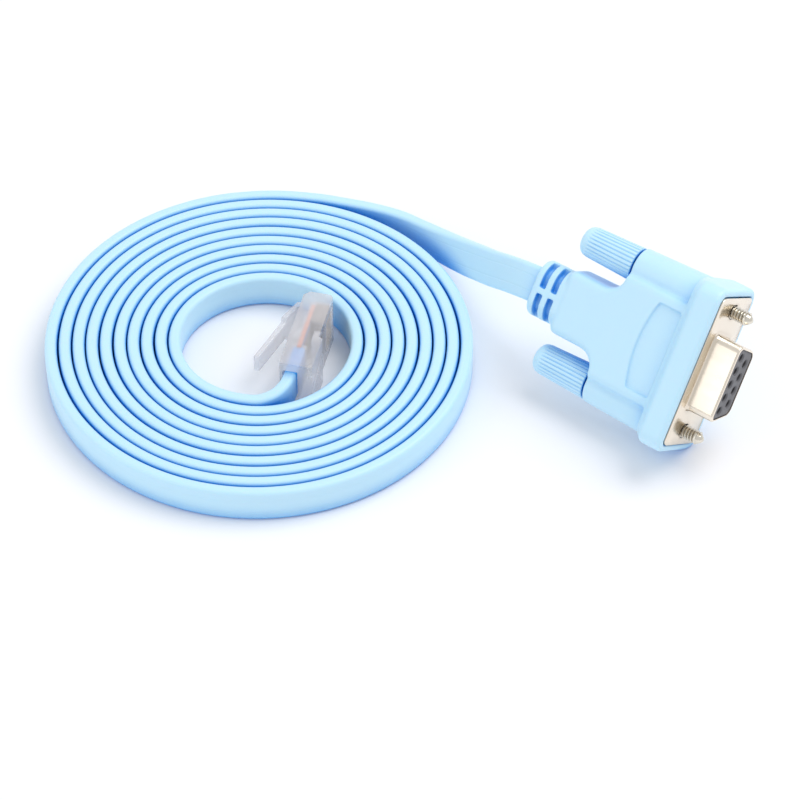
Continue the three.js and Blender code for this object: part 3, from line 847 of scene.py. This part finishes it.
def makeScrew(name, side):
    look = screwLook
    bm = bmesh.new()
    tip, core = look["tip"], look["core"]
    turned(bm, [(look["back"], 0), (look["back"], core), (tip - look["point"], core),
                (tip - 0.35, core * 0.62), (tip - 0.08, core * 0.3), (tip, 0)], 32)
    turns = (tip - look["point"] - 0.1 - look["threadFrom"]) / look["pitch"]
    steps = round(turns * look["stepsPerTurn"])
    half = look["pitch"] * 0.44
    start = look["threadFrom"]
    root, crest, land = core - 0.05, look["crest"], 0.05
    profile = ((-half, root), (-land, crest), (land, crest), (half, root))
    verts = [bm.verts.new((start + dx, radius, 0)) for dx, radius in profile]
    face = bm.faces.new(verts)
    bmesh.ops.spin(bm, geom=[face], cent=(0, 0, 0), axis=(1, 0, 0),
                   dvec=(look["pitch"] / look["stepsPerTurn"], 0, 0),
                   angle=2 * math.pi * steps / look["stepsPerTurn"], steps=steps, use_merge=False)
    bmesh.ops.translate(bm, verts=bm.verts, vec=(0, side * hoodLook["screwSpacing"] / 2, 0))
    return makePiece(f"{name}_screw_thread", bm, connectorPlace, steel,
                     [f"{name}_screw"], 40)


# Depth of the ribs round the grip, as a share: rounded tops with narrow grooves between them
def ribShare(step):
    phase = (step % screwLook["ribSteps"]) / screwLook["ribSteps"]
    return max(0.0, math.cos(2 * math.pi * phase)) ** 1.5


def makeGrip(name, side):
    look = screwLook
    bm = bmesh.new()
    front = hoodLook["bodyBack"] - look["gripGap"]
    back = front - look["gripLength"]
    count = look["ribs"] * look["ribSteps"]
    sections = []
    taper = (look["gripFront"] - look["gripBack"]) / look["gripLength"]
    for i in range(look["endSteps"] + 1):
        angle = math.radians(90 * i / look["endSteps"])
        radius = look["gripBack"] - look["gripRound"] * (1 - math.sin(angle))
        sections.append((back + look["gripRound"] * (1 - math.cos(angle)), radius, 0.0))
    for share, rib in ((0.065, 0.4), (0.11, 0.85), (0.2, 1.0), (0.6, 1.0), (0.955, 1.0)):
        x = back + look["gripLength"] * share + 1.0 * (1 - share)
        sections.append((x, look["gripBack"] + taper * (x - back), rib))
    sections += [(front - 0.12, look["gripFront"], 1.0), (front, look["gripFront"] - 0.14, 0.9)]
    rings = []
    for x, radius, rib in sections:
        made = circleAt(bm, x, radius, count)
        for vert in made:
            step = round(math.atan2(vert.co.z, vert.co.y) / (2 * math.pi) * count)
            cut = 1 - look["ribDepth"] * rib * ribShare(step) / radius
            vert.co.y *= cut
            vert.co.z *= cut
        rings.append(edgesOf(made))
    for x in (front, back + look["gripWall"]):
        rings.append(edgesOf(circleAt(bm, x, look["gripBore"], count)))
    loft(bm, rings)
    bmesh.ops.translate(bm, verts=bm.verts, vec=(0, side * hoodLook["screwSpacing"] / 2, 0))
    return makePiece(f"{name}_ribbed_grip", bm, connectorPlace, moulding,
                     [f"{name}_screw_grip"], 40)


# Modular plug, in its own frame: x to its nose, y across its width, z out of the contact side

plugLook = {"centre": (-55.2, -31.75), "heading": 113.5, "length": 20.6, "width": 11.68,
            "cavity": 7.6, "cableOffset": -1.2, "bevel": 0.16, "conductors": 8, "conductorPitch": 1.02,
            "conductorWidth": 0.86, "channelWall": 1.6}
conductorColours = [shade(236, 120, 40), shade(40, 90, 190), shade(30, 30, 32), shade(200, 40, 36),
                    shade(40, 140, 70), shade(230, 200, 60), shade(120, 74, 44), shade(130, 132, 138)]
plugPlace = (toMetres @ Matrix.Translation((*plugLook["centre"], plugLook["width"] / 2))
             @ Matrix.Rotation(math.radians(plugLook["heading"]), 4, "Z")
             @ Matrix.Rotation(math.radians(90), 4, "X"))


def plugEntry():
    look = plugLook
    heading = math.radians(look["heading"])
    ahead = Vector((math.cos(heading), math.sin(heading)))
    right = Vector((ahead.y, -ahead.x))
    points = []
    for x in (-look["length"] / 2, -look["length"] / 2 + look["cavity"] - 0.3):
        place = Vector(look["centre"]) + ahead * x + right * look["cableOffset"]
        points.append((place.x, place.y, look["width"] / 2, 0))
    return points


# A CAD node's own shape, merged and with its edges rounded
def roundedCopy(node, name, material, width):
    bm = bmesh.new()
    bm.from_mesh(frame["nodes"][node].data)
    bmesh.ops.transform(bm, matrix=toMetres.inverted(), verts=bm.verts)
    bmesh.ops.remove_doubles(bm, verts=bm.verts, dist=0.002)
    bmesh.ops.dissolve_limit(bm, angle_limit=math.radians(1), verts=bm.verts, edges=bm.edges)
    rounded = throughModifiers(bm, ("BEVEL", {"width": width, "segments": 2, "limit_method": "ANGLE",
                                             "angle_limit": math.radians(30)}))
    return makePiece(name, rounded, toMetres, material, [node], 30)


def makeConductors():
    look = plugLook
    pieces = []
    half = look["length"] / 2
    start, end = -half + look["cavity"] - 0.6, half - look["channelWall"]
    for i in range(look["conductors"]):
        y = (i - (look["conductors"] - 1) / 2) * look["conductorPitch"]
        bm = bmesh.new()
        rod(bm, look["conductorWidth"] / 2, start, end, y, look["cableOffset"], segments=16)
        colour = conductorColours[look["conductors"] - 1 - i]
        bmesh.ops.recalc_face_normals(bm, faces=bm.faces)
        made = makeObject(f"plug_conductor_{i + 1}", bm, plugPlace)
        made.data.materials.append(conductorMaterial(f"conductor_{i + 1}", colour))
        made.data.shade_smooth()
        made.data.set_sharp_from_angle(angle=math.radians(40))
        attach(made, bodyOf("plug_body"))
        pieces.append(made)
    return pieces


makeHood()
print("hood done")
makeShell()
makeInsulator()
makeSockets()
print("shell, insulator and sockets done")
for screwName, screwSide in (("upper", 1), ("lower", -1)):
    makeScrew(screwName, screwSide)
    makeGrip(screwName, screwSide)
print("thumbscrews done")
plugPieces = [roundedCopy("plug_body", "clear_plug", clear, plugLook["bevel"]),
              roundedCopy("plug_latch", "clear_latch", clear, plugLook["bevel"])]
plugPieces += makeConductors()
for i in range(plugLook["conductors"]):
    blade = frame["nodes"][f"plug_contact_{i + 1}"]
    blade.data.materials.clear()
    blade.data.materials.append(gold)
    plugPieces.append(blade)
print("plug done")
makeCable()
